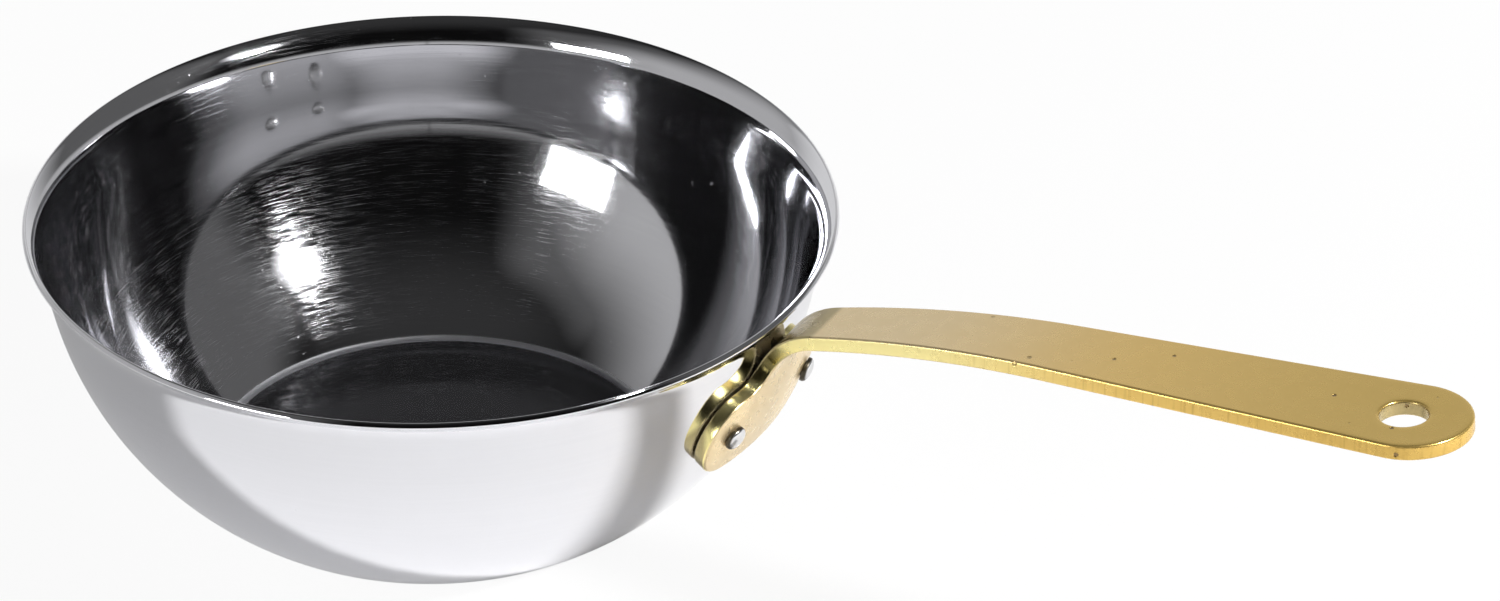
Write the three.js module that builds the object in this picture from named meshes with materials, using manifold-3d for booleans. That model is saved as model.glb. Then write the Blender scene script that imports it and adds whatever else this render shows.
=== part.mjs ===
// A small flat-bottomed wok: a pressed steel bowl with a flared pouring lip, and a brass strap handle
// that bends down into a two-lobed plate, curved to the wall and held by two rivets.
// Millimetres, +Z up. The origin is the centre of the base's underside, and the handle points along +X.
import * as THREE from 'three';
import { mergeVertices } from 'three/addons/utils/BufferGeometryUtils.js';
import Module from 'manifold-3d';

// Bowl
const RIM_RADIUS = 100;
const HEIGHT = 72.6;
const BASE_RADIUS = 56.5;
const BASE_FILLET = 4;
const SHEET = 1.6;
const WALL_ANGLE = 77.5;
const STRAIGHT_WALL = 11;
const LIP_RADIUS = 9.5;
const LIP_ANGLE = 35;
const RIM_EASE = 0.5;

// Handle
const STRAP_THICKNESS = 3.9;
const NECK_WIDTH = 15;
const TIP_WIDTH = 29.2;
const HANDLE_REACH = 275;
const BEND_DEPTH = 16;
const BEND_RADIUS = 16;
const ROOT_RISE = 15.8;
const TIP_RISE = 4.7;
const ARCH_RADIUS = 333;
const HANG_HOLE = 11.5;
const HANG_HOLE_INSET = 16.4;
const EDGE_EASE = 0.7;
const LOBE_RADIUS = 11;
const LOBE_INSET = 2.4;
const LOBE_DROP = 0.8;
const SHOULDER_RADIUS = 7.5;

// Rivets
const RIVET_DEPTH = 26.6;
const RIVET_SPACING = 34.2;
const RIVET_SHANK = 4;
const RIVET_HEAD = 6.2;
const RIVET_HEAD_HEIGHT = 2;
const RIVET_INNER_HEAD = 8;
const RIVET_INNER_HEIGHT = 1.5;
const RIVET_SKIRT = 0.5;

// Clearances between pieces that touch on the real object
const SEAT_GAP = 0.3;
const HOLE_CLEARANCE = 0.3;

// Fineness of the round stretches
const BOWL_SEGMENTS = 72;
const STRAP_COLUMNS = 12;
const ROUND_SEGMENTS = 24;
const ROUND_STEPS = 12;
const WALL_STEPS = 12;
const BEND_STEPS = 10;
const ARCH_STEPS = 10;
const FILLET_STEPS = 4;
const LIP_STEPS = 4;
const EASE_STEPS = 2;

const wasm = await Module();
wasm.setup();

const radians = THREE.MathUtils.degToRad;
const wallAngle = radians(WALL_ANGLE);
const lipAngle = radians(LIP_ANGLE);

// Directions in the plane of a profile, for a path that climbs at an angle from the horizontal
const along = (angle) => new THREE.Vector2(Math.cos(angle), Math.sin(angle));
const outward = (angle) => new THREE.Vector2(Math.sin(angle), -Math.cos(angle));
const move = (point, direction, distance) => point.clone().addScaledVector(direction, distance);

// Values from first to last in equal steps, both ends included
function range(first, last, steps) {
  return Array.from({ length: steps + 1 }, (_, i) => THREE.MathUtils.lerp(first, last, i / steps));
}

// The wall's outer face, from the rim down: lip arc, straight wall, wall arc, base fillet
function makeWall() {
  const rim = new THREE.Vector2(RIM_RADIUS, HEIGHT - SHEET * Math.cos(lipAngle));
  const lipCentre = move(rim, outward(lipAngle), LIP_RADIUS);
  const lipRoot = move(lipCentre, outward(wallAngle), -LIP_RADIUS);
  const arcTop = move(lipRoot, along(wallAngle), -STRAIGHT_WALL);

  // The wall arc leaves the straight wall smoothly and aims for the corner of the base
  const chord = arcTop.clone().sub(new THREE.Vector2(BASE_RADIUS, 0));
  const arcRadius = chord.lengthSq() / (2 * chord.dot(outward(wallAngle)));
  const arcCentre = move(arcTop, outward(wallAngle), -arcRadius);

  // The base fillet touches the floor line and the wall arc from inside
  const filletRun = Math.sqrt((arcRadius - BASE_FILLET) ** 2 - (arcCentre.y - BASE_FILLET) ** 2);
  const filletCentre = new THREE.Vector2(arcCentre.x + filletRun, BASE_FILLET);
  const filletAngle = Math.atan2(filletRun, arcCentre.y - BASE_FILLET);

  return { lipCentre, arcTop, arcRadius, arcCentre, filletCentre, filletAngle };
}

const wall = makeWall();

// Point and slope of the wall's outer face at a height, moved outward by an offset
function wallAt(height, offset) {
  const onArc = height < wall.arcTop.y;
  const angle = onArc ? Math.acos((wall.arcCentre.y - height) / wall.arcRadius) : wallAngle;
  const climb = (height - wall.arcTop.y) / Math.sin(wallAngle);
  const face = onArc
    ? move(wall.arcCentre, outward(angle), wall.arcRadius)
    : move(wall.arcTop, along(wallAngle), climb);
  return { point: move(face, outward(angle), offset), angle };
}

// Whole face of the sheet from base to lip, at an offset from the outer face
function sheetFace(offset, lipEnd) {
  const { filletCentre, filletAngle, arcCentre, arcRadius, lipCentre } = wall;
  const fillet = range(0, filletAngle, FILLET_STEPS)
    .map((angle) => move(filletCentre, outward(angle), BASE_FILLET + offset));
  const arc = range(filletAngle, wallAngle, WALL_STEPS).slice(1)
    .map((angle) => move(arcCentre, outward(angle), arcRadius + offset));
  const lip = range(wallAngle, lipEnd, LIP_STEPS)
    .map((angle) => move(lipCentre, outward(angle), offset - LIP_RADIUS));
  return [...fillet, ...arc, ...lip];
}

// A closed mesh as a solid: shared corners are merged, and triangles that have shrunk to a line dropped
function toSolid(geometry) {
  const bare = geometry.clone();
  bare.deleteAttribute('normal');
  bare.deleteAttribute('uv');
  const merged = mergeVertices(bare);
  const corners = merged.index.array;
  const triVerts = [];
  for (let i = 0; i < corners.length; i += 3) {
    const [a, b, c] = corners.slice(i, i + 3);
    if (a !== b && b !== c && c !== a) triVerts.push(a, b, c);
  }
  const vertProperties = new Float32Array(merged.attributes.position.array);
  const mesh = new wasm.Mesh({ numProp: 3, vertProperties, triVerts: new Uint32Array(triVerts) });
  return new wasm.Manifold(mesh);
}

// A solid as a mesh's geometry
function toGeometry(solid) {
  const { vertProperties, triVerts, numProp } = solid.getMesh();
  const geometry = new THREE.BufferGeometry();
  const positions = new THREE.BufferAttribute(new Float32Array(vertProperties), numProp);
  geometry.setAttribute('position', positions);
  geometry.setIndex(new THREE.BufferAttribute(new Uint32Array(triVerts), 1));
  geometry.computeVertexNormals();
  return geometry;
}

// A profile of radius and height, turned about +Z
function revolve(profile, segments) {
  return new THREE.LatheGeometry(profile, segments).rotateX(Math.PI / 2);
}

// Where the rivets sit: a height on the wall, and a turn to each side of the handle
const rivetSeat = wallAt(HEIGHT - RIVET_DEPTH, 0);
const rivetTurn = Math.asin(RIVET_SPACING / 2 / rivetSeat.point.x);
const rivetSides = { left: rivetTurn, right: -rivetTurn };

// Turns a shape made along +Z to point along a rivet, out of the wall
function rivetMatrix(turn) {
  const place = new THREE.Matrix4().makeTranslation(rivetSeat.point.x, 0, rivetSeat.point.y);
  const tilt = new THREE.Matrix4().makeRotationY(Math.PI - rivetSeat.angle);
  return new THREE.Matrix4().makeRotationZ(turn).multiply(place).multiply(tilt);
}

// Round cutter for one rivet's hole, through the wall and the plate
function rivetHole(turn) {
  const radius = RIVET_SHANK / 2 + HOLE_CLEARANCE;
  const length = 4 * (SHEET + STRAP_THICKNESS);
  const cutter = new THREE.CylinderGeometry(radius, radius, length, ROUND_SEGMENTS).rotateX(Math.PI / 2);
  return toSolid(cutter.applyMatrix4(rivetMatrix(turn)));
}

function drillRivets(solid) {
  return Object.values(rivetSides).reduce((rest, turn) => rest.subtract(rivetHole(turn)), solid);
}

// Bowl: one sheet from the middle of the base, over the rim and back to the middle of the floor
function makeBowl() {
  const outerEase = lipAngle + RIM_EASE / LIP_RADIUS;
  const innerEase = lipAngle + RIM_EASE / (LIP_RADIUS + SHEET);
  const outer = sheetFace(0, outerEase);
  const inner = sheetFace(-SHEET, innerEase);
  const cutEdge = (depth) => move(wall.lipCentre, outward(lipAngle), -LIP_RADIUS - depth);
  const round = (from, corner, to) => new THREE.QuadraticBezierCurve(from, corner, to).getPoints(EASE_STEPS);
  const outerRound = round(outer.at(-1), cutEdge(0), cutEdge(RIM_EASE));
  const innerRound = round(cutEdge(SHEET - RIM_EASE), cutEdge(SHEET), inner.at(-1));
  const profile = [
    new THREE.Vector2(0, 0),
    ...outer,
    ...outerRound.slice(1),
    ...innerRound,
    ...inner.reverse().slice(1),
    new THREE.Vector2(0, SHEET),
  ];
  return toGeometry(drillRivets(toSolid(revolve(profile, BOWL_SEGMENTS))));
}

// Point and slope on one leg of the spine, some way from where it starts
function legAt({ point, angle, radius }, run) {
  if (!Number.isFinite(radius)) return { point: move(point, along(angle), run), angle };
  const end = angle + run / radius;
  const centre = move(point, outward(angle), -radius);
  return { point: move(centre, outward(end), radius), angle: end };
}

// The handle's spine is the side view of its upper face, measured from the rivets: up the wall, round the
// bend, along the arch and straight to the tip. Each leg starts where the one before it ends
function makeSpine() {
  const bendSeat = wallAt(HEIGHT - BEND_DEPTH, SEAT_GAP);
  const legs = [];
  let end = { run: 0, ...wallAt(HEIGHT - RIVET_DEPTH, SEAT_GAP) };
  const add = (length, radius) => {
    const leg = { ...end, radius };
    legs.push(leg);
    end = { run: leg.run + length, ...legAt(leg, length) };
    return end.run;
  };
  const turn = (angle, radius) => add((angle - end.angle) * radius, radius);

  turn(bendSeat.angle, wall.arcRadius + SEAT_GAP);
  const bendStart = add(bendSeat.point.distanceTo(end.point), Infinity);
  const bendEnd = turn(radians(ROOT_RISE), -BEND_RADIUS - STRAP_THICKNESS);
  const archEnd = turn(radians(TIP_RISE), -ARCH_RADIUS);
  const tip = add((HANDLE_REACH - end.point.x) / Math.cos(end.angle), Infinity);
  return { legs, bendStart, bendEnd, archEnd, tip };
}

const spine = makeSpine();

function spineAt(run) {
  const leg = spine.legs.findLast((candidate) => candidate.run <= run) ?? spine.legs[0];
  return legAt(leg, run - leg.run);
}

// Half of the handle's flat blank, as points across and along the spine from the foot to the tip: a lobe
// round the rivet, a hollow shoulder, the widening strap and the round end, all drawn in by an inset
function halfBlank(inset) {
  const neck = NECK_WIDTH / 2;
  const tipRadius = TIP_WIDTH / 2;
  const lobe = new THREE.Vector2(rivetTurn * spineAt(0).point.x - LOBE_INSET, -LOBE_DROP);
  const shoulderRadius = Math.max(SHOULDER_RADIUS, lobe.x - neck);
  const shoulderX = neck + shoulderRadius;
  const rise = Math.sqrt((LOBE_RADIUS + shoulderRadius) ** 2 - (shoulderX - lobe.x) ** 2);
  const shoulder = new THREE.Vector2(shoulderX, lobe.y + rise);
  const meet = shoulder.clone().sub(lobe).angle();
  const end = new THREE.Vector2(0, spine.tip - tipRadius);
  const reach = end.y - shoulder.y;
  const flare = Math.asin(tipRadius / Math.hypot(reach, neck)) - Math.atan2(neck, reach);
  const edgeAt = (run) => neck + (run - shoulder.y) * Math.tan(flare) - inset / Math.cos(flare);

  const arc = (centre, radius, from, to) => (
    new THREE.EllipseCurve(centre.x, centre.y, radius, radius, from, to, to < from).getPoints(ROUND_STEPS)
  );
  const bend = range(spine.bendStart, spine.bendEnd, BEND_STEPS);
  const arch = range(spine.bendEnd, spine.archEnd, ARCH_STEPS).slice(1);
  const onStrap = (run) => run > shoulder.y && run < end.y - tipRadius * Math.sin(flare);
  return [
    ...arc(lobe, LOBE_RADIUS - inset, -Math.PI / 2, meet),
    ...arc(shoulder, shoulderRadius + inset, meet + Math.PI, Math.PI).slice(1),
    ...[...bend, ...arch].filter(onStrap).map((run) => new THREE.Vector2(edgeAt(run), run)),
    ...arc(end, tipRadius - inset, -flare, Math.PI / 2),
  ];
}

// A place on the flat blank, at a depth under its upper face, once the blank is bent and curved to the wall
function bent({ x: across, y: run }, depth) {
  const { point, angle } = spineAt(run);
  const turn = across / point.x;
  const { x, y } = move(point, outward(angle), depth);
  return [x * Math.cos(turn), x * Math.sin(turn), y];
}

// The bent blank as a closed skin: layers of the outline from the upper face to the lower one, drawn in at
// the faces so that the edges are round
function bentBlank() {
  const rounding = range(0, Math.PI / 2, EASE_STEPS).map((angle) => ({
    inset: EDGE_EASE * (1 - Math.sin(angle)),
    depth: EDGE_EASE * (1 - Math.cos(angle)),
  }));
  const upper = rounding.map(({ inset, depth }) => ({ half: halfBlank(inset), depth }));
  const lower = upper.map(({ half, depth }) => ({ half, depth: STRAP_THICKNESS - depth }));
  const layers = [...upper, ...lower.reverse()];
  const shares = range(-1, 1, STRAP_COLUMNS);
  const positions = layers.flatMap(({ half, depth }) => half.flatMap((place) => (
    shares.flatMap((share) => bent(new THREE.Vector2(share * place.x, place.y), depth))
  )));

  const rows = layers[0].half.length;
  const columns = shares.length;
  const at = (layer, row, column) => (layer * rows + row) * columns + column;
  const index = [];
  const quad = (a, b, c, d) => index.push(a, b, c, a, c, d);
  const lowest = layers.length - 1;
  for (let row = 0; row < rows - 1; row += 1) {
    for (let column = 0; column < columns - 1; column += 1) {
      const corners = [[row, column], [row + 1, column], [row + 1, column + 1], [row, column + 1]];
      quad(...corners.map((corner) => at(0, ...corner)));
      quad(...corners.reverse().map((corner) => at(lowest, ...corner)));
    }
  }
  const upEdge = Array.from({ length: rows }, (_, row) => [row, columns - 1]);
  const downEdge = upEdge.map(([row]) => [row, 0]).reverse();
  const foot = shares.map((_, column) => [0, column]).slice(1);
  const rim = [...upEdge, ...downEdge, ...foot];
  for (let layer = 0; layer < lowest; layer += 1) {
    for (let i = 0; i < rim.length - 1; i += 1) {
      const [here, next] = [rim[i], rim[i + 1]];
      quad(at(layer, ...here), at(layer, ...next), at(layer + 1, ...next), at(layer + 1, ...here));
    }
  }
  const geometry = new THREE.BufferGeometry();
  geometry.setAttribute('position', new THREE.Float32BufferAttribute(positions, 3));
  return geometry.setIndex(index);
}

// Cutter for the hang hole, with both mouths eased, square to the strap
function hangHole() {
  const radius = HANG_HOLE / 2;
  const mouth = radius + EDGE_EASE;
  const over = STRAP_THICKNESS;
  const profile = [
    new THREE.Vector2(0, -STRAP_THICKNESS - over),
    new THREE.Vector2(mouth + over, -STRAP_THICKNESS - over),
    new THREE.Vector2(mouth, -STRAP_THICKNESS),
    new THREE.Vector2(radius, -STRAP_THICKNESS + EDGE_EASE),
    new THREE.Vector2(radius, -EDGE_EASE),
    new THREE.Vector2(mouth, 0),
    new THREE.Vector2(mouth + over, over),
    new THREE.Vector2(0, over),
  ];
  const { point, angle } = spineAt(spine.tip - HANG_HOLE_INSET);
  const cutter = revolve(profile, 2 * ROUND_SEGMENTS);
  return toSolid(cutter.rotateY(-angle).translate(point.x, 0, point.y));
}

// Handle: the bent blank with its holes
function makeHandle() {
  return toGeometry(drillRivets(toSolid(bentBlank()).subtract(hangHole())));
}

// Domed head of a rivet, from its seat to the crown, with a short straight skirt
function headProfile(diameter, height) {
  const radius = diameter / 2;
  const crown = new THREE.EllipseCurve(0, RIVET_SKIRT, radius, height - RIVET_SKIRT, 0, Math.PI / 2);
  const dome = crown.getPoints(FILLET_STEPS).slice(0, -1);
  return [new THREE.Vector2(radius, 0), ...dome, new THREE.Vector2(0, height)];
}

// Rivet along +Z, with z = 0 at the wall's outer face
function makeRivet() {
  const innerSeat = -SHEET - SEAT_GAP;
  const outerSeat = SEAT_GAP + STRAP_THICKNESS + SEAT_GAP;
  const innerHead = headProfile(RIVET_INNER_HEAD, RIVET_INNER_HEIGHT)
    .map(({ x, y }) => new THREE.Vector2(x, innerSeat - y));
  const outerHead = headProfile(RIVET_HEAD, RIVET_HEAD_HEIGHT)
    .map(({ x, y }) => new THREE.Vector2(x, outerSeat + y));
  const profile = [
    ...innerHead.reverse(),
    new THREE.Vector2(RIVET_SHANK / 2, innerSeat),
    new THREE.Vector2(RIVET_SHANK / 2, outerSeat),
    ...outerHead,
  ];
  return toGeometry(toSolid(revolve(profile, ROUND_SEGMENTS)));
}

const steel = new THREE.MeshStandardMaterial({ color: 0xc4c5c9, metalness: 1, roughness: 0.08 });
const rivetSteel = new THREE.MeshStandardMaterial({ color: 0xb9babd, metalness: 1, roughness: 0.18 });
const brass = new THREE.MeshStandardMaterial({ color: 0xd9b25e, metalness: 1, roughness: 0.32 });

function addPiece(parent, name, geometry, material) {
  const mesh = new THREE.Mesh(geometry, material);
  mesh.name = name;
  parent.add(mesh);
  return mesh;
}

const wok = new THREE.Group();
addPiece(wok, 'bowl', makeBowl(), steel);
addPiece(wok, 'handle', makeHandle(), brass);

const rivetGeometry = makeRivet();
for (const [side, turn] of Object.entries(rivetSides)) {
  const spoke = new THREE.Group();
  spoke.rotation.z = turn;
  const rivet = addPiece(spoke, `rivet_${side}`, rivetGeometry, rivetSteel);
  rivet.position.set(rivetSeat.point.x, 0, rivetSeat.point.y);
  rivet.rotation.y = Math.PI - rivetSeat.angle;
  wok.add(spoke);
}

export default wok;
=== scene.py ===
# A small flat-bottomed wok: a mirror-polished steel bowl with a flared pouring lip, a satin brass strap
# handle that bends down into a two-lobed plate on the wall, and two steel rivets.
# Shapes are drawn in millimetres and turned into metres when a mesh is made. +Z is up and the handle points
# along +X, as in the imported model.
import math

import bpy
from mathutils import Matrix, Vector


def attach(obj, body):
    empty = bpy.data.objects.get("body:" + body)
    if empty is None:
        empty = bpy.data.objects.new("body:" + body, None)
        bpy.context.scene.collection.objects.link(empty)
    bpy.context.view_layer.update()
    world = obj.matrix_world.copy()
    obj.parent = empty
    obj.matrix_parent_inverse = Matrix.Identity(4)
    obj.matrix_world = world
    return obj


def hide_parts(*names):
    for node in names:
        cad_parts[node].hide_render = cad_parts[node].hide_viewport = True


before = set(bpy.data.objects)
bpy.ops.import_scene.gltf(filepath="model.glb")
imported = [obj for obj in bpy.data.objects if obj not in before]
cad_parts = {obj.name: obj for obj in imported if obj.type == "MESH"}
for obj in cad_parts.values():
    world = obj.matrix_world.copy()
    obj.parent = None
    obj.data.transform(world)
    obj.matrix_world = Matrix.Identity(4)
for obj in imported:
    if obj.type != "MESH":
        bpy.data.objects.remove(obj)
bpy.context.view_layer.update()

MILLIMETRE = 0.001

# Bowl
RIM_RADIUS = 100
HEIGHT = 72.6
BASE_RADIUS = 56.5
BASE_FILLET = 4
SHEET = 1.6
WALL_ANGLE = math.radians(77.5)
STRAIGHT_WALL = 11
LIP_RADIUS = 9.5
LIP_ANGLE = math.radians(35)
RIM_EASE = 0.5

# Handle
STRAP_THICKNESS = 3.9
NECK_WIDTH = 15
TIP_WIDTH = 29.2
HANDLE_REACH = 275
BEND_DEPTH = 16
BEND_RADIUS = 16
ROOT_RISE = math.radians(15.8)
TIP_RISE = math.radians(4.7)
ARCH_RADIUS = 333
HANG_HOLE = 11.5
HANG_HOLE_INSET = 16.4
EDGE_EASE = 0.7
LOBE_RADIUS = 11
LOBE_INSET = 2.4
LOBE_DROP = 0.8
SHOULDER_RADIUS = 7.5

# Rivets
RIVET_DEPTH = 26.6
RIVET_SPACING = 34.2
RIVET_SHANK = 4
RIVET_HEAD = 6.2
RIVET_HEAD_HEIGHT = 2
RIVET_INNER_HEAD = 8
RIVET_INNER_HEIGHT = 1.5
RIVET_SKIRT = 0.5
SEAT_GAP = 0.3

# Fineness of the meshes
BOWL_SEGMENTS = 360
RIVET_SEGMENTS = 64
FILLET_STEPS = 14
WALL_STEPS = 48
STRAIGHT_STEPS = 6
LIP_STEPS = 16
RIM_STEPS = 6
FLOOR_STEPS = 24
LOBE_STEPS = 40
SHOULDER_STEPS = 32
BEND_STEPS = 40
ARCH_STEPS = 48
STRAP_STEPS = 40
TIP_STEPS = 48
COLUMNS = 28
EDGE_STEPS = 6
HOLE_RINGS = 8
HOLE_MARGIN = 12
DOME_STEPS = 14

# Edges that turn more sharply than this stay sharp
BOWL_SHARP = math.radians(60)
HANDLE_SHARP = math.radians(50)
RIVET_SHARP = math.radians(40)


# Directions in the plane of a profile, for a path that climbs at an angle from the horizontal
def along(angle):
    return Vector((math.cos(angle), math.sin(angle)))


def outward(angle):
    return Vector((math.sin(angle), -math.cos(angle)))


# Values from first to last in equal steps, both ends included
def spread(first, last, steps):
    return [first + (last - first) * i / steps for i in range(steps + 1)]


# Points of a round corner from one point to another
def rounded(start, corner, end, steps):
    return [start * (1 - t) ** 2 + corner * 2 * t * (1 - t) + end * t**2 for t in spread(0, 1, steps)]


def make_mesh(name, points, faces, sharp_angle):
    mesh = bpy.data.meshes.new(name)
    mesh.from_pydata([Vector(point) * MILLIMETRE for point in points], [], faces)
    mesh.polygons.foreach_set("use_smooth", [True] * len(mesh.polygons))
    mesh.set_sharp_from_angle(angle=sharp_angle)
    mesh.update()
    piece = bpy.data.objects.new(name, mesh)
    bpy.context.scene.collection.objects.link(piece)
    return piece


# A profile of radius and height that starts and ends on the axis, turned about +Z
def turned(profile, segments):
    points = [(0, 0, profile[0].y)]
    for place in profile[1:-1]:
        for i in range(segments):
            turn = math.tau * i / segments
            points.append((place.x * math.cos(turn), place.x * math.sin(turn), place.y))
    points.append((0, 0, profile[-1].y))
    rings = len(profile) - 2
    last = len(points) - 1
    faces = []
    for i in range(segments):
        j = (i + 1) % segments
        faces.append((0, 1 + j, 1 + i))
        for ring in range(rings - 1):
            low = 1 + ring * segments
            high = low + segments
            faces.append((low + i, low + j, high + j, high + i))
        top = 1 + (rings - 1) * segments
        faces.append((top + i, top + j, last))
    return points, faces


# The wall's outer face, from the rim down: lip arc, straight wall, wall arc, base fillet
rim = Vector((RIM_RADIUS, HEIGHT - SHEET * math.cos(LIP_ANGLE)))
lip_centre = rim + outward(LIP_ANGLE) * LIP_RADIUS
lip_root = lip_centre - outward(WALL_ANGLE) * LIP_RADIUS
arc_top = lip_root - along(WALL_ANGLE) * STRAIGHT_WALL
chord = arc_top - Vector((BASE_RADIUS, 0))
arc_radius = chord.length_squared / (2 * chord.dot(outward(WALL_ANGLE)))
arc_centre = arc_top - outward(WALL_ANGLE) * arc_radius
fillet_run = math.sqrt((arc_radius - BASE_FILLET) ** 2 - (arc_centre.y - BASE_FILLET) ** 2)
fillet_centre = Vector((arc_centre.x + fillet_run, BASE_FILLET))
fillet_angle = math.atan2(fillet_run, arc_centre.y - BASE_FILLET)


# Point and slope of the wall's outer face at a height, moved outward by an offset
def wall_at(height, offset):
    if height < arc_top.y:
        angle = math.acos((arc_centre.y - height) / arc_radius)
        face = arc_centre + outward(angle) * arc_radius
    else:
        angle = WALL_ANGLE
        face = arc_top + along(angle) * ((height - arc_top.y) / math.sin(angle))
    return face + outward(angle) * offset, angle


# Whole face of the sheet from the middle of the base to the lip, at an offset from the outer face
def sheet_face(offset, lip_end):
    floor_edge = fillet_centre.x
    flat = [Vector((floor_edge * math.sin(turn), -offset)) for turn in spread(0, math.pi / 2, FLOOR_STEPS)]
    fillet = [
        fillet_centre + outward(angle) * (BASE_FILLET + offset)
        for angle in spread(0, fillet_angle, FILLET_STEPS)
    ]
    arc = [
        arc_centre + outward(angle) * (arc_radius + offset)
        for angle in spread(fillet_angle, WALL_ANGLE, WALL_STEPS)
    ]
    lip = [
        lip_centre + outward(angle) * (offset - LIP_RADIUS)
        for angle in spread(WALL_ANGLE, lip_end, LIP_STEPS)
    ]
    straight = [arc[-1].lerp(lip[0], share) for share in spread(0, 1, STRAIGHT_STEPS)]
    return flat[:-1] + fillet[:-1] + arc[:-1] + straight[:-1] + lip


# Bowl: one sheet from the middle of the base, over the rim and back to the middle of the floor
def make_bowl():
    def cut_edge(depth):
        return lip_centre - outward(LIP_ANGLE) * (LIP_RADIUS + depth)

    outer = sheet_face(0, LIP_ANGLE + RIM_EASE / LIP_RADIUS)
    inner = sheet_face(-SHEET, LIP_ANGLE + RIM_EASE / (LIP_RADIUS + SHEET))
    outer_round = rounded(outer[-1], cut_edge(0), cut_edge(RIM_EASE), RIM_STEPS)
    inner_round = rounded(cut_edge(SHEET - RIM_EASE), cut_edge(SHEET), inner[-1], RIM_STEPS)
    profile = outer[:-1] + outer_round + inner_round + inner[-2::-1]
    points, faces = turned(profile, BOWL_SEGMENTS)
    return make_mesh("bowl_sheet", points, faces, BOWL_SHARP)


# The handle's spine is the side view of its upper face, measured from the rivets: up the wall, round the
# bend, along the arch and straight to the tip. A leg is its start, the point and slope there, and its radius
def leg_at(leg, run):
    start, point, angle, radius = leg
    if radius is None:
        return point + along(angle) * (run - start), angle
    end = angle + (run - start) / radius
    centre = point - outward(angle) * radius
    return centre + outward(end) * radius, end


def make_spine():
    bend_seat, bend_angle = wall_at(HEIGHT - BEND_DEPTH, SEAT_GAP)
    seat, seat_angle = wall_at(HEIGHT - RIVET_DEPTH, SEAT_GAP)
    legs = []

    def add(start, point, angle, radius, length):
        leg = (start, point, angle, radius)
        legs.append(leg)
        return (start + length, *leg_at(leg, start + length))

    def turn(end, angle, radius):
        return add(*end, radius, (angle - end[2]) * radius)

    up_wall = turn((0, seat, seat_angle), bend_angle, arc_radius + SEAT_GAP)
    bend_start = add(*up_wall, None, (bend_seat - up_wall[1]).length)
    bend_end = turn(bend_start, ROOT_RISE, -BEND_RADIUS - STRAP_THICKNESS)
    arch_end = turn(bend_end, TIP_RISE, -ARCH_RADIUS)
    tip = add(*arch_end, None, (HANDLE_REACH - arch_end[1].x) / math.cos(arch_end[2]))
    return legs, bend_start[0], bend_end[0], arch_end[0], tip[0]


spine_legs, bend_start, bend_end, arch_end, tip_run = make_spine()


def spine_at(run):
    started = [leg for leg in spine_legs if leg[0] <= run]
    return leg_at(started[-1] if started else spine_legs[0], run)


rivet_seat, rivet_angle = wall_at(HEIGHT - RIVET_DEPTH, 0)
rivet_turn = math.asin(RIVET_SPACING / 2 / rivet_seat.x)
hole_centre = Vector((0, tip_run - HANG_HOLE_INSET))
hole_centre_x = spine_at(hole_centre.y)[0].x * MILLIMETRE


# Points of an arc in the flat blank, its angles measured from across towards along
def blank_arc(centre, radius, first, last, steps):
    return [
        centre + Vector((math.cos(angle), math.sin(angle))) * radius for angle in spread(first, last, steps)
    ]


# Half of the handle's flat blank, as points across and along the spine from the foot to the tip: a lobe
# round the rivet, a hollow shoulder, the widening strap and the round end, all drawn in by an inset
def half_blank(inset):
    neck = NECK_WIDTH / 2
    tip_radius = TIP_WIDTH / 2
    lobe = Vector((rivet_turn * spine_at(0)[0].x - LOBE_INSET, -LOBE_DROP))
    shoulder_radius = max(SHOULDER_RADIUS, lobe.x - neck)
    shoulder_x = neck + shoulder_radius
    rise = math.sqrt((LOBE_RADIUS + shoulder_radius) ** 2 - (shoulder_x - lobe.x) ** 2)
    shoulder = Vector((shoulder_x, lobe.y + rise))
    meet = math.atan2(rise, shoulder_x - lobe.x)
    end = Vector((0, tip_run - tip_radius))
    reach = end.y - shoulder.y
    flare = math.asin(tip_radius / math.hypot(reach, neck)) - math.atan2(neck, reach)
    strap_end = end.y - tip_radius * math.sin(flare)
    runs = (
        spread(bend_start, bend_end, BEND_STEPS)
        + spread(bend_end, arch_end, ARCH_STEPS)[1:]
        + spread(arch_end, strap_end, STRAP_STEPS)[1:-1]
    )
    strap = [
        Vector((neck + (run - shoulder.y) * math.tan(flare) - inset / math.cos(flare), run))
        for run in runs
        if run > shoulder.y
    ]
    return (
        blank_arc(lobe, LOBE_RADIUS - inset, -math.pi / 2, meet, LOBE_STEPS)
        + blank_arc(shoulder, shoulder_radius + inset, meet + math.pi, math.pi, SHOULDER_STEPS)[1:]
        + strap
        + blank_arc(end, tip_radius - inset, -flare, math.pi / 2, TIP_STEPS)
    )


# A place on the flat blank, at a depth under its upper face, once the blank is bent and curved to the wall
def bent(place, depth):
    point, angle = spine_at(place.y)
    turn = place.x / point.x
    moved = point + outward(angle) * depth
    return moved.x * math.cos(turn), moved.x * math.sin(turn), moved.y


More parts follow.
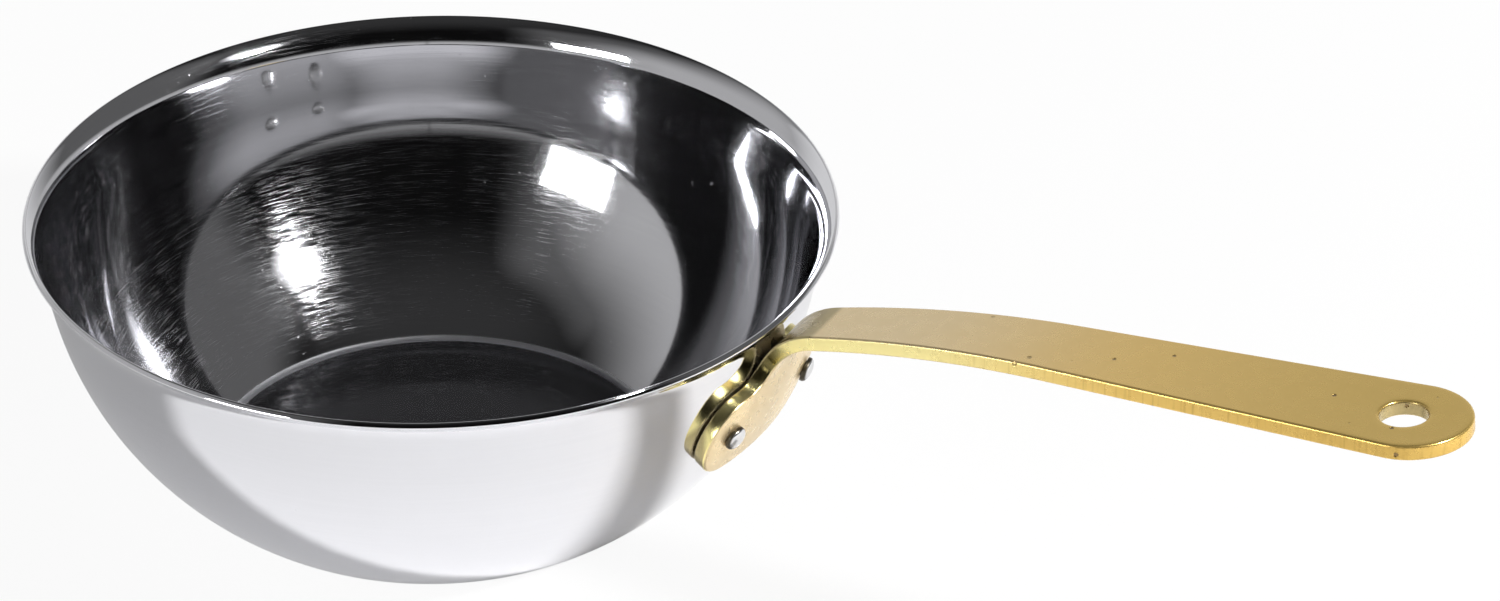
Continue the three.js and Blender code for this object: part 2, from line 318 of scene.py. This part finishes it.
# Handle: the bent blank as a closed skin. Layers of its outline and of the hang hole go from the upper face
# to the lower one, drawn in at the faces so that the edges are round. On each face, rows run from the foot
# to a split before the hole, and rings run from there to the hole
def make_handle():
    points = []
    faces = []
    shares = [math.sin(turn) for turn in spread(-math.pi / 2, math.pi / 2, COLUMNS)]

    def put(place, depth):
        points.append(bent(place, depth))
        return len(points) - 1

    def mirrored(place):
        return Vector((-place.x, place.y))

    rounding = [
        (EDGE_EASE * (1 - math.sin(angle)), EDGE_EASE * (1 - math.cos(angle)))
        for angle in spread(0, math.pi / 2, EDGE_STEPS)
    ]
    layers = rounding + [(inset, STRAP_THICKNESS - depth) for inset, depth in reversed(rounding)]
    face_half = half_blank(EDGE_EASE)
    split = max(i for i, place in enumerate(face_half) if place.y < hole_centre.y - HOLE_MARGIN)
    split_row = [Vector((share * face_half[split].x, face_half[split].y)) for share in shares]
    ring_places = (
        split_row + face_half[split + 1:] + [mirrored(place) for place in face_half[-2:split:-1]]
    )
    hole_directions = [(place - hole_centre).normalized() for place in ring_places]

    def hole_places(inset):
        return [hole_centre + direction * (HANG_HOLE / 2 + inset) for direction in hole_directions]

    # A whole face: its rows and rings, and the corners of its outline and of its hole
    def face_layer(inset, depth, flip):
        def quad(*corners):
            faces.append(corners[::-1] if flip else corners)

        rows = [
            [put(Vector((share * place.x, place.y)), depth) for share in shares]
            for place in face_half[:split + 1]
        ]
        for near, far in zip(rows, rows[1:]):
            for i in range(COLUMNS):
                quad(near[i], far[i], far[i + 1], near[i + 1])
        right = [put(place, depth) for place in face_half[split + 1:]]
        left = [put(mirrored(place), depth) for place in face_half[-2:split:-1]]
        mouth = hole_places(inset)
        rings = [
            [put(mouth[j].lerp(ring_places[j], ring / HOLE_RINGS), depth) for j in range(len(mouth))]
            for ring in range(HOLE_RINGS)
        ]
        rings.append(rows[split] + right + left)
        for inner, outer in zip(rings, rings[1:]):
            for j in range(len(mouth)):
                k = (j + 1) % len(mouth)
                quad(inner[j], inner[k], outer[k], outer[j])
        up_edge = [row[-1] for row in rows[1:]]
        down_edge = [row[0] for row in rows[:0:-1]]
        return rows[0] + up_edge + right + left + down_edge, rings[0]

    # A layer between the faces: only its outline and its hole
    def edge_layer(inset, depth):
        half = half_blank(inset)
        foot = [Vector((share * half[0].x, half[0].y)) for share in shares]
        outline = foot + half[1:] + [mirrored(place) for place in half[-2:0:-1]]
        return [put(place, depth) for place in outline], [put(place, depth) for place in hole_places(inset)]

    loops = []
    for i, (inset, depth) in enumerate(layers):
        if i in (0, len(layers) - 1):
            loops.append(face_layer(inset, depth, i > 0))
        else:
            loops.append(edge_layer(inset, depth))
    for (upper, upper_hole), (lower, lower_hole) in zip(loops, loops[1:]):
        for i in range(len(upper)):
            j = (i + 1) % len(upper)
            faces.append((upper[i], upper[j], lower[j], lower[i]))
        for i in range(len(upper_hole)):
            j = (i + 1) % len(upper_hole)
            faces.append((upper_hole[j], upper_hole[i], lower_hole[i], lower_hole[j]))
    return make_mesh("handle_strap", points, faces, HANDLE_SHARP)


# Domed head of a rivet, from its seat to the crown, with a short straight skirt
def head_profile(diameter, height):
    radius = diameter / 2
    dome = [
        Vector((radius * math.cos(turn), RIVET_SKIRT + (height - RIVET_SKIRT) * math.sin(turn)))
        for turn in spread(0, math.pi / 2, DOME_STEPS)
    ]
    dome[-1].x = 0
    return [Vector((radius, 0))] + dome


# Rivet through the wall and the plate: made along +Z with z = 0 at the wall's outer face, then turned to
# point out of the wall
def make_rivet(name, turn):
    inner_seat = -SHEET - SEAT_GAP
    outer_seat = SEAT_GAP + STRAP_THICKNESS + SEAT_GAP
    inner = [Vector((p.x, inner_seat - p.y)) for p in head_profile(RIVET_INNER_HEAD, RIVET_INNER_HEIGHT)]
    outer = [Vector((p.x, outer_seat + p.y)) for p in head_profile(RIVET_HEAD, RIVET_HEAD_HEIGHT)]
    shank = [Vector((RIVET_SHANK / 2, inner_seat)), Vector((RIVET_SHANK / 2, outer_seat))]
    points, faces = turned(inner[::-1] + shank + outer, RIVET_SEGMENTS)
    place = (
        Matrix.Rotation(turn, 4, "Z")
        @ Matrix.Translation((rivet_seat.x, 0, rivet_seat.y))
        @ Matrix.Rotation(math.pi - rivet_angle, 4, "Y")
    )
    return make_mesh(name, [place @ Vector(point) for point in points], faces, RIVET_SHARP)


# Lengths in millimetres as metres, which is what the materials measure in
def metres(*lengths):
    return [length * MILLIMETRE for length in lengths]


# Gives a socket a value, or links another node's output to it
def feed(tree, socket, value):
    if isinstance(value, bpy.types.NodeSocket):
        tree.links.new(value, socket)
    else:
        socket.default_value = value


# Node with its settings and inputs; an input is a value or another node's output
def add_node(tree, kind, inputs=None, **settings):
    node = tree.nodes.new(kind)
    for name, value in settings.items():
        setattr(node, name, value)
    for name, value in (inputs or {}).items():
        feed(tree, node.inputs[name], value)
    return node


def new_material(name):
    material = bpy.data.materials.new(name)
    material.use_nodes = True
    material.node_tree.nodes.clear()
    return material, material.node_tree


def finish_material(tree, shader):
    add_node(tree, "ShaderNodeOutputMaterial", {"Surface": shader})


def math_node(tree, operation, first, second=0.0, third=0.0):
    return add_node(tree, "ShaderNodeMath", {0: first, 1: second, 2: third}, operation=operation).outputs[0]


# Vector maths: a length, a distance or a dot product gives a number, and the rest give a vector
def vector_node(tree, operation, *inputs):
    node = add_node(tree, "ShaderNodeVectorMath", dict(enumerate(inputs)), operation=operation)
    return next(socket for socket in node.outputs if socket.enabled)


# A value from one range to another, with soft ends
def eased(tree, value, low, high, at_low, at_high):
    inputs = {"Value": value, "From Min": low, "From Max": high, "To Min": at_low, "To Max": at_high}
    return add_node(tree, "ShaderNodeMapRange", inputs, interpolation_type="SMOOTHSTEP").outputs["Result"]


def noise(tree, place, scale, detail=2.0, roughness=0.5):
    inputs = {"Vector": place, "Scale": scale, "Detail": detail, "Roughness": roughness}
    return add_node(tree, "ShaderNodeTexNoise", inputs).outputs["Fac"]


# Normal of a face with bumps of a depth in millimetres
def bump(tree, height, depth, normal=None):
    inputs = {"Height": height, "Distance": depth * MILLIMETRE, "Strength": 1.0}
    if normal is not None:
        inputs["Normal"] = normal
    return add_node(tree, "ShaderNodeBump", inputs).outputs["Normal"]


def mixed(tree, share, first, second):
    node = add_node(tree, "ShaderNodeMix", data_type="RGBA")
    sockets = [socket for socket in node.inputs if socket.enabled]
    for socket, value in zip(sockets, (share, first, second)):
        feed(tree, socket, value)
    return next(socket for socket in node.outputs if socket.enabled)


# A point of the surface: its place, the parts of that, its place seen from above, and its direction from
# the axis
def surface_place(tree):
    place = add_node(tree, "ShaderNodeTexCoord").outputs["Object"]
    parts = add_node(tree, "ShaderNodeSeparateXYZ", {"Vector": place}).outputs
    flat = add_node(tree, "ShaderNodeCombineXYZ", {"X": parts["X"], "Y": parts["Y"]}).outputs[0]
    return place, parts, flat, vector_node(tree, "NORMALIZE", flat)


# Direction that the surface faces, and how straight it faces out from the axis or in to it, from 0 to 1
def surface_facing(tree, around):
    facing = add_node(tree, "ShaderNodeTexCoord").outputs["Normal"]
    return facing, math_node(tree, "ABSOLUTE", vector_node(tree, "DOT_PRODUCT", facing, around))


# Polished sheet. Lines and hairs run round the axis: breaks are their changes for each radian round it, and
# densities their counts for each metre across them. A spread is the part of the noise over which a mark
# comes in
STEEL_GREY = (0.8, 0.8, 0.83, 1)
STEEL_PALE = (0.84, 0.84, 0.87, 1)
LINE_BREAKS = 2.2
LINE_DENSITY = 900.0
LINE_SPREAD = (0.3, 0.75)
LINE_ROUGHNESS = (0.035, 0.06)
LINE_DEPTH = 0.003
HAIR_BREAKS = 9.0
HAIR_DENSITY = 16000.0
HAIR_SPREAD = (0.545, 0.76)
HAIR_ROUGHNESS = 0.26
ACROSS_HAIRS = 0.25
WAVE_SCALE = 22.0
WAVE_DEPTH = 0.12
SPECK_SCALE = 420.0
SPECK_SPREAD = (0.7, 0.8)
SPECK_ROUGHNESS = 0.2

# Where hairs thin out, in millimetres: up the wall, down to the floor and towards the handle. Then the share
# of them that is left there
WALL_THINNING = (30, 48)
FLOOR_THINNING = (2, 6)
HANDLE_THINNING = (-20, 35)
UPPER_HAIRS = 0.6
FLOOR_HAIRS = 0.15
HANDLE_SIDE_HAIRS = 0.2

# Worn ring where the wall starts, in millimetres from the edge of the base
RING_START = (-2, -1.2)
RING_END = (0.1, 0.9)
RING_ROUGHNESS = 0.3


# Mirror-polished sheet: hairs smear bright reflections across themselves, and the sheet is a little wavy
def polished_steel():
    material, tree = new_material("polished_steel")
    place, parts, flat, around = surface_place(tree)
    radius = vector_node(tree, "LENGTH", flat)
    run = math_node(tree, "ADD", radius, parts["Z"])

    def swirl(breaks, density):
        lift = add_node(tree, "ShaderNodeCombineXYZ", {"Z": math_node(tree, "MULTIPLY", run, density)})
        return vector_node(tree, "MULTIPLY_ADD", around, (breaks, breaks, 0.0), lift.outputs[0])

    def from_base_edge(steps):
        return metres(*[BASE_RADIUS + step for step in steps])

    lines = noise(tree, swirl(LINE_BREAKS, LINE_DENSITY), 1.0, detail=4.0, roughness=0.6)
    hairs = noise(tree, swirl(HAIR_BREAKS, HAIR_DENSITY), 1.0, detail=1.0)
    waves = noise(tree, place, WAVE_SCALE, detail=1.0)
    specks = noise(tree, place, SPECK_SCALE)
    up_wall = eased(tree, parts["Z"], *metres(*WALL_THINNING), 1.0, UPPER_HAIRS)
    off_floor = eased(tree, parts["Z"], *metres(*FLOOR_THINNING), FLOOR_HAIRS, 1.0)
    far_side = eased(tree, parts["X"], *metres(*HANDLE_THINNING), 1.0, HANDLE_SIDE_HAIRS)
    stirred = math_node(tree, "MULTIPLY", math_node(tree, "MULTIPLY", up_wall, off_floor), far_side)
    scratched = math_node(tree, "MULTIPLY", stirred, eased(tree, hairs, *HAIR_SPREAD, 0.0, 1.0))
    streaked = eased(tree, lines, *LINE_SPREAD, *LINE_ROUGHNESS)
    specked = eased(tree, specks, *SPECK_SPREAD, 0.0, SPECK_ROUGHNESS)
    ring_start = eased(tree, radius, *from_base_edge(RING_START), 0.0, RING_ROUGHNESS)
    ring = math_node(tree, "MULTIPLY", ring_start, eased(tree, radius, *from_base_edge(RING_END), 1.0, 0.0))
    roughness = math_node(tree, "MULTIPLY_ADD", scratched, HAIR_ROUGHNESS, streaked)
    roughness = math_node(tree, "ADD", roughness, math_node(tree, "ADD", specked, ring))
    wavy = bump(tree, waves, WAVE_DEPTH)
    shader = add_node(
        tree,
        "ShaderNodeBsdfPrincipled",
        {
            "Base Color": mixed(tree, lines, STEEL_GREY, STEEL_PALE),
            "Metallic": 1.0,
            "Roughness": roughness,
            "Anisotropic": scratched,
            "Anisotropic Rotation": ACROSS_HAIRS,
            "Tangent": add_node(tree, "ShaderNodeTangent", direction_type="RADIAL", axis="Z").outputs[0],
            "Normal": bump(tree, lines, LINE_DEPTH, wavy),
        },
    )
    finish_material(tree, shader.outputs[0])
    return material


# Brass: colours of the broad faces and of the sawn edges, from the root to the tip, paler at the root as a
# painted highlight, of marks on them, and of painted shade
FACE_ROOT_HIGHLIGHT = (0.84, 0.67, 0.4, 1)
FACE_MIDDLE = (0.95, 0.66, 0.24, 1)
FACE_TIP = (0.7, 0.485, 0.14, 1)
EDGE_ROOT_HIGHLIGHT = (0.98, 0.86, 0.38, 1)
EDGE_MIDDLE = (0.88, 0.6, 0.175, 1)
EDGE_TIP = (0.66, 0.43, 0.11, 1)
SAW_MARK = (0.45, 0.28, 0.06, 1)
MOTTLE = (0.76, 0.54, 0.2, 1)
SHADED_HOLLOW = (0.09, 0.07, 0.02, 1)
BEND_AND_HOLE_SHADE = (0.4, 0.33, 0.17, 1)
PIT = (0.26, 0.17, 0.07, 1)

# Where the brass changes, in millimetres: along X from the plate to the strap, to its middle, to its tip and
# past the bend, up Z into the shoulder's hollow and out of it, and out from the hang hole's wall
STRAP_START = (98, 106)
TO_MIDDLE = (125, 200)
TO_TIP = (150, 270)
BEND_END = (108.5, 110.5)
HOLLOW_START = (55.5, 57.5)
HOLLOW_END = (65, 67.5)
HOLE_WALL = (0.25, 0.85)

# How a face lies: the range of its upward part at the strap's sides, of its outward part at the plate's
# edges and of its forward part at the back of the bend
STRAP_SIDE = (0.3, 0.75)
PLATE_SIDE = (0.35, 0.75)
BEND_BACK = (-0.25, -0.12)

# Strength of the painted shade, and strength and scale of the marks in the brass
HOLLOW_SHARE = 0.9
BEND_AND_HOLE_SHADE_SHARE = 0.85
SAW_STRETCH = (1100.0, 60.0, 60.0)
SAW_SPREAD = (0.5, 0.75)
SAW_SHARE = 0.5
MOTTLE_SCALE = 130.0
MOTTLE_SPREAD = (0.35, 0.75)
MOTTLE_SHARE = 0.1
PIT_SCALE = 150.0
PIT_SIZE = (0.05, 0.11)
PIT_DEPTH = 0.3
GRAIN_SCALE = 2400.0
GRAIN_DEPTH = 0.01
SATIN_SCALE = 300.0
SATIN_SPREAD = (0.3, 0.7)
SATIN_ROUGHNESS = (0.26, 0.31)
PLATE_EDGE_POLISH = -0.07
FACE_METALLIC = 0.78


# Satin brass: deeper gold at the tip and on the sawn edges and paler at the root as a painted highlight,
# with painted shade in the hollow of the shoulder, behind the bend and in the hang hole, and with saw marks,
# faint mottling, a few small pits and fine grain
def satin_brass():
    material, tree = new_material("satin_brass")
    place, parts, flat, around = surface_place(tree)
    facing, outwardness = surface_facing(tree, around)
    faces = add_node(tree, "ShaderNodeSeparateXYZ", {"Vector": facing}).outputs

    def along_strap(stretch, at_low, at_high):
        return eased(tree, parts["X"], *metres(*stretch), at_low, at_high)

    def up_plate(stretch, at_low, at_high):
        return eased(tree, parts["Z"], *metres(*stretch), at_low, at_high)

    def both(first, second):
        return math_node(tree, "MULTIPLY", first, second)

    on_strap = along_strap(STRAP_START, 0.0, 1.0)
    upright = eased(tree, math_node(tree, "ABSOLUTE", faces["Z"]), *STRAP_SIDE, 1.0, 0.0)
    plate_side = eased(tree, outwardness, *PLATE_SIDE, 1.0, 0.0)
    plate_sawn = both(plate_side, math_node(tree, "SUBTRACT", 1.0, on_strap))
    sawn = math_node(tree, "ADD", both(upright, on_strap), plate_sawn)
    midway = along_strap(TO_MIDDLE, 0.0, 1.0)
    tipward = along_strap(TO_TIP, 0.0, 1.0)
    # The paler face and edge colours at the root are a painted highlight
    face = mixed(tree, tipward, mixed(tree, midway, FACE_ROOT_HIGHLIGHT, FACE_MIDDLE), FACE_TIP)
    edge = mixed(tree, tipward, mixed(tree, midway, EDGE_ROOT_HIGHLIGHT, EDGE_MIDDLE), EDGE_TIP)
    saw_marks = noise(tree, vector_node(tree, "MULTIPLY", place, SAW_STRETCH), 1.0)
    edge = mixed(tree, both(eased(tree, saw_marks, *SAW_SPREAD, 0.0, SAW_SHARE), midway), edge, SAW_MARK)
    clouds = noise(tree, place, MOTTLE_SCALE, detail=4.0, roughness=0.6)
    mottle = eased(tree, clouds, *MOTTLE_SPREAD, 0.0, MOTTLE_SHARE)
    colour = mixed(tree, mottle, mixed(tree, sawn, face, edge), MOTTLE)
    # Painted shade: the hollow of the plate's shoulder is darkened to near black
    hollow_foot = both(plate_sawn, up_plate(HOLLOW_START, 0.0, HOLLOW_SHARE))
    colour = mixed(tree, both(hollow_foot, up_plate(HOLLOW_END, 1.0, 0.0)), colour, SHADED_HOLLOW)
    # Painted shade behind the bend, where the strap faces the wall, and on the hang hole's wall
    bend = both(eased(tree, faces["X"], *BEND_BACK, 1.0, 0.0), along_strap(BEND_END, BEND_AND_HOLE_SHADE_SHARE, 0.0))
    from_hole = vector_node(tree, "DISTANCE", flat, (hole_centre_x, 0.0, 0.0))
    hole_wall = metres(*[HANG_HOLE / 2 + step for step in HOLE_WALL])
    hole = both(upright, eased(tree, from_hole, *hole_wall, BEND_AND_HOLE_SHADE_SHARE, 0.0))
    colour = mixed(tree, math_node(tree, "MAXIMUM", bend, hole), colour, BEND_AND_HOLE_SHADE)
    cells = add_node(tree, "ShaderNodeTexVoronoi", {"Vector": place, "Scale": PIT_SCALE}).outputs["Distance"]
    pits = both(midway, eased(tree, cells, *PIT_SIZE, 1.0, 0.0))
    satin = eased(tree, noise(tree, place, SATIN_SCALE, detail=3.0), *SATIN_SPREAD, *SATIN_ROUGHNESS)
    pitted = bump(tree, math_node(tree, "MULTIPLY", pits, -1.0), PIT_DEPTH)
    shader = add_node(
        tree,
        "ShaderNodeBsdfPrincipled",
        {
            "Base Color": mixed(tree, pits, colour, PIT),
            "Metallic": eased(tree, plate_sawn, 0.0, 1.0, FACE_METALLIC, 1.0),
            "Roughness": math_node(tree, "MULTIPLY_ADD", plate_sawn, PLATE_EDGE_POLISH, satin),
            "Normal": bump(tree, noise(tree, place, GRAIN_SCALE), GRAIN_DEPTH, pitted),
        },
    )
    finish_material(tree, shader.outputs[0])
    return material


# Rivet steel
RIVET_GREY = (0.7, 0.7, 0.71, 1)
RIVET_PALE = (0.82, 0.82, 0.83, 1)
RIVET_SIDE_DARK_REFLECTION = (0.09, 0.08, 0.06, 1)
RIVET_SIDE_TILT = (0.6, 0.86)
RIVET_SIDE_ROUGHNESS = 0.2
DENT_SCALE = 700.0
DENT_SPREAD = (0.3, 0.7)
DENT_ROUGHNESS = (0.1, 0.22)
DENT_DEPTH = 0.03


# Bright steel, tumbled smooth, with rougher sides to the heads that carry a painted dark reflection
def rivet_steel():
    material, tree = new_material("rivet_steel")
    place, _, _, around = surface_place(tree)
    _, outwardness = surface_facing(tree, around)
    # Painted dark reflection on the sides of the heads
    side = eased(tree, outwardness, *RIVET_SIDE_TILT, 1.0, 0.0)
    dents = noise(tree, place, DENT_SCALE)
    tumbled = eased(tree, dents, *DENT_SPREAD, *DENT_ROUGHNESS)
    shader = add_node(
        tree,
        "ShaderNodeBsdfPrincipled",
        {
            "Base Color": mixed(tree, side, mixed(tree, dents, RIVET_GREY, RIVET_PALE), RIVET_SIDE_DARK_REFLECTION),
            "Metallic": 1.0,
            "Roughness": math_node(tree, "MULTIPLY_ADD", side, RIVET_SIDE_ROUGHNESS, tumbled),
            "Normal": bump(tree, dents, DENT_DEPTH),
        },
    )
    finish_material(tree, shader.outputs[0])
    return material


def dress(piece, node, material):
    piece.data.materials.append(material)
    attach(piece, "root")
    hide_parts(node)


dress(make_bowl(), "bowl", polished_steel())
dress(make_handle(), "handle", satin_brass())
tumbled_steel = rivet_steel()
dress(make_rivet("rivet_left_steel", rivet_turn), "rivet_left", tumbled_steel)
dress(make_rivet("rivet_right_steel", -rivet_turn), "rivet_right", tumbled_steel)

# Camera, turned about the bowl's axis from the part's own directions. Its distance is in metres
CAMERA_TURN = math.radians(31.3)
CAMERA_RISE = math.radians(30.17)
CAMERA_DISTANCE = 1.77
CAMERA_PITCH = math.radians(59.11)
CAMERA_YAW = math.radians(28.38)
CAMERA_LENS = 173.4
CAMERA_SENSOR = 36

# Lamps: bearing from the camera's line of sight and rise in degrees, size and distance in metres, power in
# watts
LAMP_DISTANCE = 1.5
RIGHT_LAMP = {"shape": "DISK", "size": (0.16, 0.16), "bearing": 114, "rise": 32, "power": 28.0}
HIGH_LAMP = {"shape": "DISK", "size": (0.17, 0.17), "bearing": 121, "rise": 41, "power": 22.0}
LEFT_LAMP = {"shape": "RECTANGLE", "size": (0.58, 0.34), "bearing": -130, "rise": 17, "power": 8.0}

# Floor: half its side in metres, its colour, and how far it is lifted to white for the camera and in metal
FLOOR_HALF = 20
FLOOR_COLOUR = (0.9, 0.9, 0.9, 1)
FLOOR_SEEN = 0.93
FLOOR_MIRRORED = 0.14

# Studio: patches by bearing and rise in degrees. A patch is even as far as its width and its low rise, and
# has faded out at its soft width and its high rise
BACKDROP = {"centre": -8, "width": 28, "soft_width": 72, "low": 24, "high": 34, "level": 0.7}
BACKDROP_HAZE = {"centre": -8, "width": 10, "soft_width": 66, "low": 24, "high": 56, "level": 0.52}
LEFT_WALL = {"centre": -85, "width": 20, "soft_width": 70, "low": 20, "high": 58, "level": 0.44}
LEFT_CORNER = {"centre": -115, "width": 20, "soft_width": 45, "low": 45, "high": 62, "level": 0.1}
RIGHT_WALL = {"centre": 75, "width": 25, "soft_width": 45, "low": 45, "high": 60, "level": 0.11}
FLOOR_BAND = {"centre": 0, "width": 179, "soft_width": 181, "low": 5, "high": 13, "level": 0.45}

# The ceiling comes in as the rise grows, and is dimmer ahead than behind. The glow round the high lamp fades
# from its core to its edge
CEILING_RISE = (28, 70)
CEILING_LEVEL = 0.033
CEILING_TURN = (40, 130)
CEILING_AHEAD = 0.45
GLOW_CORE = math.radians(3)
GLOW_EDGE = math.radians(9)
GLOW_LEVEL = 0.65
DARKEST = 0.004
WHITE = (1, 1, 1, 1)


# A direction by its bearing and rise, with +Y as the line of sight
def towards(bearing, rise):
    flat = math.cos(rise)
    return Vector((flat * math.sin(bearing), flat * math.cos(bearing), math.sin(rise)))


# Middle of the rim, and a point round it by its bearing, its rise and its distance
rim_centre = Vector((0, 0, rim.y * MILLIMETRE))


def from_camera(bearing, rise, distance):
    return rim_centre + Matrix.Rotation(CAMERA_TURN, 3, "Z") @ towards(bearing, rise) * distance


def make_camera():
    data = bpy.data.cameras.new("camera")
    data.lens = CAMERA_LENS
    data.sensor_width = CAMERA_SENSOR
    data.sensor_fit = "HORIZONTAL"
    camera = bpy.data.objects.new("camera", data)
    camera.location = from_camera(math.pi, CAMERA_RISE, CAMERA_DISTANCE)
    camera.rotation_euler = (CAMERA_PITCH, 0, CAMERA_YAW)
    bpy.context.scene.collection.objects.link(camera)
    bpy.context.scene.camera = camera


# Soft lamp that faces the bowl, and lights the floor, shows in the metal, or both
def make_lamp(name, shape, size, bearing, rise, power, on_floor=True, in_metal=True):
    data = bpy.data.lights.new(name, "AREA")
    data.shape = shape
    data.size, data.size_y = size
    data.energy = power
    lamp = bpy.data.objects.new(name, data)
    lamp.location = from_camera(math.radians(bearing), math.radians(rise), LAMP_DISTANCE)
    lamp.rotation_euler = (rim_centre - lamp.location).to_track_quat("-Z", "Y").to_euler()
    lamp.visible_camera = False
    lamp.visible_diffuse = on_floor
    lamp.visible_glossy = in_metal
    bpy.context.scene.collection.objects.link(lamp)


# Pale floor: it takes light and shadow as a pale surface does, and is lifted towards white where it is seen.
# From below it is clear, so that the base can be looked at
def make_floor():
    mesh = bpy.data.meshes.new("floor")
    corners = [(x * FLOOR_HALF, y * FLOOR_HALF, 0) for x, y in ((-1, -1), (1, -1), (1, 1), (-1, 1))]
    mesh.from_pydata(corners, [], [(0, 1, 2, 3)])
    floor = bpy.data.objects.new("floor", mesh)
    bpy.context.scene.collection.objects.link(floor)
    material, tree = new_material("pale_floor")
    path = add_node(tree, "ShaderNodeLightPath").outputs
    seen = math_node(tree, "MULTIPLY", path["Is Camera Ray"], FLOOR_SEEN)
    mirrored = math_node(tree, "MULTIPLY", path["Is Glossy Ray"], FLOOR_MIRRORED)
    lift = math_node(tree, "ADD", seen, mirrored)
    matt = add_node(tree, "ShaderNodeBsdfDiffuse", {"Color": FLOOR_COLOUR}).outputs[0]
    white = add_node(tree, "ShaderNodeEmission", {"Color": WHITE, "Strength": 1.0}).outputs[0]
    top = add_node(tree, "ShaderNodeMixShader", {0: lift, 1: matt, 2: white}).outputs[0]
    clear = add_node(tree, "ShaderNodeBsdfTransparent").outputs[0]
    below = add_node(tree, "ShaderNodeNewGeometry").outputs["Backfacing"]
    finish_material(tree, add_node(tree, "ShaderNodeMixShader", {0: below, 1: top, 2: clear}).outputs[0])
    mesh.materials.append(material)


# Studio round the object: a pale backdrop behind it, grey walls at its sides, a low band of light from the
# floor all round, a soft glow round the high lamp and a dark ceiling. Seen directly it is white
def make_world():
    world = bpy.data.worlds.new("studio")
    world.use_nodes = True
    tree = world.node_tree
    tree.nodes.clear()
    direction = add_node(tree, "ShaderNodeTexCoord").outputs["Generated"]
    turned_back = add_node(
        tree, "ShaderNodeVectorRotate", {"Vector": direction, "Angle": -CAMERA_TURN}, rotation_type="Z_AXIS"
    ).outputs[0]
    parts = add_node(tree, "ShaderNodeSeparateXYZ", {"Vector": turned_back}).outputs
    bearing = math_node(tree, "ARCTAN2", parts["X"], parts["Y"])
    rise = math_node(tree, "ARCSINE", parts["Z"])

    def faded(angle, start, end, at_start, at_end):
        return eased(tree, angle, math.radians(start), math.radians(end), at_start, at_end)

    def patch(centre, width, soft_width, low, high, level):
        away = math_node(tree, "ABSOLUTE", math_node(tree, "SUBTRACT", bearing, math.radians(centre)))
        climb = faded(rise, low, high, level, 0.0)
        return math_node(tree, "MULTIPLY", faded(away, width, soft_width, 1.0, 0.0), climb)

    def lamp_glow():
        lamp = towards(math.radians(HIGH_LAMP["bearing"]), math.radians(HIGH_LAMP["rise"]))
        nearness = vector_node(tree, "DOT_PRODUCT", turned_back, lamp)
        return eased(tree, nearness, math.cos(GLOW_EDGE), math.cos(GLOW_CORE), 0.0, GLOW_LEVEL)

    def ceiling():
        around = faded(math_node(tree, "ABSOLUTE", bearing), *CEILING_TURN, CEILING_AHEAD, 1.0)
        return math_node(tree, "MULTIPLY", around, faded(rise, *CEILING_RISE, 0.0, CEILING_LEVEL))

    light = math_node(tree, "MAXIMUM", lamp_glow(), ceiling())
    for values in (BACKDROP, BACKDROP_HAZE, LEFT_WALL, LEFT_CORNER, RIGHT_WALL, FLOOR_BAND):
        light = math_node(tree, "MAXIMUM", light, patch(**values))
    light = math_node(tree, "MAXIMUM", light, DARKEST)
    path = add_node(tree, "ShaderNodeLightPath").outputs
    room = add_node(tree, "ShaderNodeBackground", {"Color": WHITE, "Strength": light}).outputs[0]
    white = add_node(tree, "ShaderNodeBackground", {"Color": WHITE, "Strength": 1.0}).outputs[0]
    seen = add_node(tree, "ShaderNodeMixShader", {0: path["Is Camera Ray"], 1: room, 2: white}).outputs[0]
    add_node(tree, "ShaderNodeOutputWorld", {"Surface": seen})
    bpy.context.scene.world = world


make_camera()
make_lamp("lamp_right", **RIGHT_LAMP, in_metal=False)
make_lamp("lamp_high", **HIGH_LAMP, on_floor=False)
make_lamp("lamp_left", **LEFT_LAMP)
make_floor()
make_world()
bpy.context.scene.view_settings.view_transform = "Standard"
